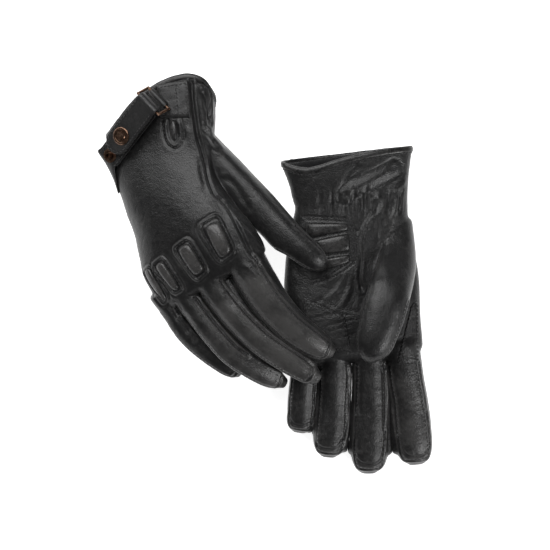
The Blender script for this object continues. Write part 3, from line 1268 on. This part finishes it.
def patches(side):
    sk = SKIN[side]
    hand = f"{side}_hand"
    if side == "left":
        rays = [px_rays([(303, 296), (345, 316), (352, 352), (304, 349)], 60, 60, 0.15),
                px_rays([(412, 303), (417.5, 301), (418.5, 364), (396.5, 365)], 60, 34, 0.15)]
    else:
        rays = [uv_rays(side, (3.5, 4.5, 227, 277), 40, 50, 0.2), uv_rays(side, (4.05, 4.6, 284, 300), 40, 30, 0.2)]
    parts, wears = [], []
    for O, D in rays:
        V, F, w, top, N = pad_from(sk, O, D, 0.75, 14.0, sink=0.6, soft=1)
        parts.append((V, F))
        wears.append(w * 0.2)
        for q in (0.93, 0.84):
            n, m = top.shape[:2]
            a = [int(round((n - 1) * (1 - q) / 2)), int(round((n - 1) * (1 + q) / 2))]
            b = [int(round((m - 1) * (1 - q) / 2)), int(round((m - 1) * (1 + q) / 2))]
            path = [(i, b[0]) for i in range(a[0], a[1])] + [(a[1], j) for j in range(b[0], b[1])] + \
                   [(i, b[1]) for i in range(a[1], a[0], -1)] + [(a[0], j) for j in range(b[1], b[0], -1)]
            pp = np.array([top[i, j] for i, j in path]); nn = np.array([N[i, j] for i, j in path])
            add_stitch(hand, pp, nn, lift=0.1)
    V, F = merge(parts)
    ob = build(f"{side}_palm_patches_soft", V, F, M_PALM, None, np.concatenate(wears))
    place(ob, hand, [f"{side}_palm_patches"])


def vent(side):
    sk = SKIN[side]
    if side == "right":
        O, D = px_rays([(170, 119), (178, 121), (178.5, 140), (170.5, 142)], 16, 26, 0.95)
    else:
        O, D = uv_rays(side, (0.1, 0.95, 72, 93), 30, 14, 0.95)
    V, F, w, top, N = pad_from(sk, O, D, 2.0 if side == "right" else 0.6, 2.2, amp=0.1)
    ob = build(f"{side}_vent_gusset_soft", V, F, M_SMOOTH, None, w)
    place(ob, f"{side}_hand", [f"{side}_vent_gusset"])


# strap frame of each glove
def vec(*a):
    return np.array(a, float)


STRAP = {}
for side in ("right", "left"):
    if side == "right":
        bi = pt(HR0, 0.19, 82.5, 4.7, 0.72)
        rd, sd = unit(vec(-0.68, -0.40, 0.62)), unit(vec(-0.56, -0.71, -0.42))
    else:
        bi = vec((384 - OX) * STEP, (OY - 172) * STEP, 7.1)
        rd, sd = unit(vec(-1, 0, -0.05)), vec(-1, 0, 0)
    bo = bi + 11.5 * rd
    bd = unit(np.cross(rd, sd))
    su = np.cross(sd, bd)
    STRAP[side] = dict(bi=bi, bo=bo, rd=rd, sd=sd, bd=bd, su=su)


def to_world(side, p):
    f = STRAP[side]
    p = np.asarray(p, float)
    return f["bo"] + p[..., :1] * f["sd"] + p[..., 1:2] * f["bd"] + p[..., 2:3] * f["su"]


def strap(side):
    f = STRAP[side]
    hand, tabb = f"{side}_hand", f"{side}_strap_tab_body"
    # folded tab
    th = np.radians(np.linspace(265, 90, 26))
    arc = np.stack([3.3 * np.cos(th), 0 * th, 3.3 * np.sin(th)], 1)
    xs = np.r_[np.linspace(1.5, 39, 40), 40 + 10 * np.sin(np.linspace(0, 1, 22)[1:] * np.pi / 2)]
    flat = np.stack([xs, 0 * xs, 3.3 + 0 * xs], 1)
    C = np.vstack([arc, flat])
    hw = np.r_[np.full(len(arc), 9.7), np.full(40, 10.0), 10 * np.sqrt(np.clip(1 - ((xs[40:] - 40) / 10.0) ** 2, 0.0004, 1))]
    hw[:len(arc)] = 9.0 + 0.9 * np.linspace(0, 1, len(arc))
    T = unit(np.gradient(C, axis=0))
    A = np.tile(vec(0, 1, 0), (len(C), 1))
    B = np.cross(T, A)
    V, F = section_sweep(C, A, B, hw, 0.85, 36, 6.0)
    V = to_world(side, V)
    ob = build(f"{side}_strap_tab_leather", V, fix_out(V, F), M_STRAP, None, np.full(len(V), 0.1))
    place(ob, tabb, [f"{side}_strap_tab"])
    q = []
    t = np.linspace(-np.pi / 2, np.pi / 2, 30)
    q += [(x, -8.2, 4.15) for x in np.linspace(3, 40, 40)] + [(40 + 8.2 * math.cos(a), 8.2 * math.sin(a), 4.15) for a in t]
    q += [(x, 8.2, 4.15) for x in np.linspace(40, 3, 40)]
    P = to_world(side, np.array(q))
    add_stitch(tabb, P, np.tile(f["su"], (len(P), 1)), lift=0.05)
    # strap base running to the hand
    s = 1 if side == "right" else -1
    tb = TAB[side]["hand"]
    z = -3.3
    e = REACH[side]
    st = [((4.6, -10, z), (4.6, 10, z)), ((20, -10, z), (20, 10, z)), ((40, -10, z), (40, 10, z)), ((56, -10, z), (56, 10, z)),
          ((62, -9.6, z - 0.4), (62, 9.6, z - 0.4))]
    Ls = [to_world(side, vec(*a)) for a, b in st]
    Rs = [to_world(side, vec(*b)) for a, b in st]
    if s > 0:
        tail = ((160, 1.18, 1.72, 2.7), (176, 1.18, 1.64, 1.6), (190, 1.2, 1.58, 0.0), (202, 1.2, 1.54, -1.6))
    else:
        tail = ((205, 0.72, 0.2, 2.0), (215, 0.47, -0.05, 0.4))
    for v, ua, ub, dd in tail:
        Ls += [pt(tb, ua, v, dd, e)]
        Rs += [pt(tb, ub, v, dd, e)]
    V, F = ribbon3(Ls, Rs, 1.5, 90, 30, 6.0)
    ob = build(f"{side}_strap_base_leather", V, F, M_STRAP, None, np.full(len(V), 0.08))
    place(ob, hand, [f"{side}_strap_base"])
    for yy in (-8.2, 8.2):
        P = to_world(side, np.stack([np.linspace(6, 61, 60), np.full(60, yy), np.full(60, -2.55)], 1))
        add_stitch(hand, P, np.tile(f["su"], (60, 1)), lift=0.05)
    # keeper: a rolled loop on the inner bar and a stitched tab on the hand
    sk = SKIN[side]
    th = np.linspace(-1, 1, 30)
    C = f["bi"] + th[:, None] * 8.6 * f["bd"]
    ra = 2.75 - 0.25 * th ** 8
    V1, F1 = section_sweep(C, np.tile(f["rd"], (30, 1)), np.tile(unit(np.cross(f["rd"], f["bd"])), (30, 1)), ra, ra, 28, 2.0)
    if side == "right":
        O, D = px_rays([(157, 85), (189, 79.5), (192, 119), (160, 118.5)], 46, 50, 0.12)
    else:
        O, D = uv_rays(side, (0.14, 0.62, 30, 62), 40, 46, 0.12)
    V2, F2, w2, top, N = pad_from(sk, O, D, 2.1 if side == "right" else 1.5, 16.0, sink=0.8, soft=2, amp=0.2)
    V, F = merge([(V1, F1), (V2, F2)])
    ob = build(f"{side}_ring_keeper_leather", V, F, M_STRAP, None, np.r_[np.full(len(V1), 0.15), w2 * 0.3])
    place(ob, hand, [f"{side}_ring_keeper"])
    n, m = top.shape[:2]
    for i in (int(n * 0.60), int(n * 0.93)):
        add_stitch(hand, top[i, 3:-3], N[i, 3:-3], lift=0.12)
    for j in (int(m * 0.10), int(m * 0.88)):
        add_stitch(hand, top[4:-3, j], N[4:-3, j], lift=0.12)


for a in HEEL:
    add_stitch("left_hand", *L_.line(a), lift=0.25)
for side in ("right", "left"):
    binding(side)
    lining(side)
    elastic(side)
    pads(side)
    patches(side)
    vent(side)
    strap(side)

# topstitching beside the finger and thumb seams
for side, sk in SKIN.items():
    for k, L, N, u, v in SEAMS[side]:
        dv = 8.0
        inner = np.where(np.abs((v - 90 + 180) % 360 - 180) < 90, np.where(v < 90, v + dv, v - dv), np.where(v > 270, v - dv, v + dv))
        um = u - np.where(u > 5.05, 0.12, 0.0)
        P, N2, ok = sk.wrap(k, um, inner, 3.0)
        for r in split_runs(P[ok]):
            add_stitch((f"{side}_hand", k), P[ok][r], N2[ok][r])


def stitches():
    ring = np.linspace(0, 2 * np.pi, 6, endpoint=False)
    xs = np.array([-0.5, -0.36, 0.0, 0.36, 0.5])
    rr = np.array([0.15, 0.85, 1.0, 0.85, 0.15])
    for key, rows in STITCH.items():
        C, T, N, LN, RD, LF = [], [], [], [], [], []
        for P, Nn, pitch, ln, rad, lift in rows:
            d = np.r_[0, np.cumsum(np.linalg.norm(np.diff(P, axis=0), axis=1))]
            if d[-1] < pitch:
                continue
            t = np.arange(pitch / 2, d[-1], pitch)
            c = np.stack([np.interp(t, d, P[:, i]) for i in range(3)], 1)
            a = np.stack([np.interp(t - 0.4, d, P[:, i]) for i in range(3)], 1)
            b = np.stack([np.interp(t + 0.4, d, P[:, i]) for i in range(3)], 1)
            nn = unit(np.stack([np.interp(t, d, Nn[:, i]) for i in range(3)], 1))
            C.append(c); T.append(unit(b - a)); N.append(nn)
            LN.append(np.full(len(t), ln)); RD.append(np.full(len(t), rad)); LF.append(np.full(len(t), lift))
        if not C:
            continue
        C, T, N = np.vstack(C), np.vstack(T), np.vstack(N)
        LN, RD, LF = np.concatenate(LN), np.concatenate(RD), np.concatenate(LF)
        T = unit(T - N * (T * N).sum(1, keepdims=True))
        B = np.cross(N, T)
        x = xs[None, :] * LN[:, None]
        z = LF[:, None] - 0.30 * (2 * xs[None, :]) ** 4
        V = (C[:, None, None] + T[:, None, None] * x[..., None, None]
             + B[:, None, None] * (RD[:, None] * rr)[:, :, None, None] * np.cos(ring)[None, None, :, None]
             + N[:, None, None] * (z[:, :, None] + (RD[:, None] * rr)[:, :, None] * np.sin(ring))[..., None])
        k = len(C)
        V = V.reshape(-1, 3)
        f = grid_faces(5, 6, True)
        F = (f[None] + (np.arange(k) * 30)[:, None, None]).reshape(-1, 4)
        name = key if isinstance(key, str) else key[0].split("_")[0] + "_" + key[1]
        ob = build(f"{name}_stitching", V, F[:, ::-1].copy(), M_THREAD)
        if isinstance(key, str):
            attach(ob, key)
        else:
            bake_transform(ob)


stitches()

# metal fittings keep their modelled shape
for side in ("right", "left"):
    for n, m in (("snap_cap", M_COPPER), ("snap_socket", M_STEEL), ("snap_studs", M_COPPER), ("d_ring", M_COPPER)):
        ob = NODES[f"{side}_{n}"]
        ob.data.materials.clear()
        ob.data.materials.append(m)


# ---- stage, light and camera -----------------------------------------------------------
def stage():
    sc = bpy.context.scene
    bpy.ops.mesh.primitive_plane_add(size=8, location=(0, 0, -0.0004))
    fl = bpy.context.object
    fl.name = "floor"
    m, nt, b = new_mat("floor_white")
    g = G(nt)
    tc = g.n("ShaderNodeTexCoord")
    n = g.noise(tc.outputs["Object"], 40.0, 3, 0.5)
    g.put(b.inputs["Base Color"], g.ramp(n, [(0.2, (0.90, 0.90, 0.90)), (0.8, (0.93, 0.93, 0.93))]))
    b.inputs["Roughness"].default_value = 0.9
    b.inputs["Specular IOR Level"].default_value = 0.1
    b.inputs["Emission Color"].default_value = (1, 1, 1, 1)
    b.inputs["Emission Strength"].default_value = 0.90
    fl.data.materials.append(m)

    w = bpy.data.worlds.new("studio")
    sc.world = w
    w.use_nodes = True
    bg = w.node_tree.nodes["Background"]
    bg.inputs[0].default_value = (1, 1, 1, 1)
    bg.inputs[1].default_value = 0.062

    def area(name, loc, aim, size, power, col=(1, 1, 1)):
        ld = bpy.data.lights.new(name, "AREA")
        ld.shape = "RECTANGLE"
        ld.size, ld.size_y = size
        ld.energy = power
        ld.color = col
        ob = bpy.data.objects.new(name, ld)
        ob.location = loc
        ob.rotation_euler = (Vector(aim) - Vector(loc)).to_track_quat("-Z", "Y").to_euler()
        sc.collection.objects.link(ob)
        ob.visible_camera = False

    area("key", (-0.35, 0.75, 1.40), (0.0, 0.0, 0.03), (1.0, 0.8), 13.5)
    area("upper_left", (-0.95, 0.80, 0.75), (0.0, 0.0, 0.03), (0.7, 0.6), 6.5)
    area("lower_right", (0.95, -0.75, 1.00), (0.0, 0.0, 0.03), (0.7, 0.6), 13)
    cam = bpy.data.cameras.new("camera")
    cam.sensor_width = 36
    cam.lens = 36 * 5970 / 429.0
    cam.clip_end = 100
    co = bpy.data.objects.new("camera", cam)
    co.location = ((275 - OX) * STEP * 0.001, (OY - 275) * STEP * 0.001, 6.0)
    co.rotation_euler = (0, 0, 0)
    sc.collection.objects.link(co)
    sc.camera = co
    sc.view_settings.view_transform = "Standard"
    sc.view_settings.look = "None"
    sc.view_settings.exposure = 0.0
    sc.view_settings.gamma = 1.0


stage()
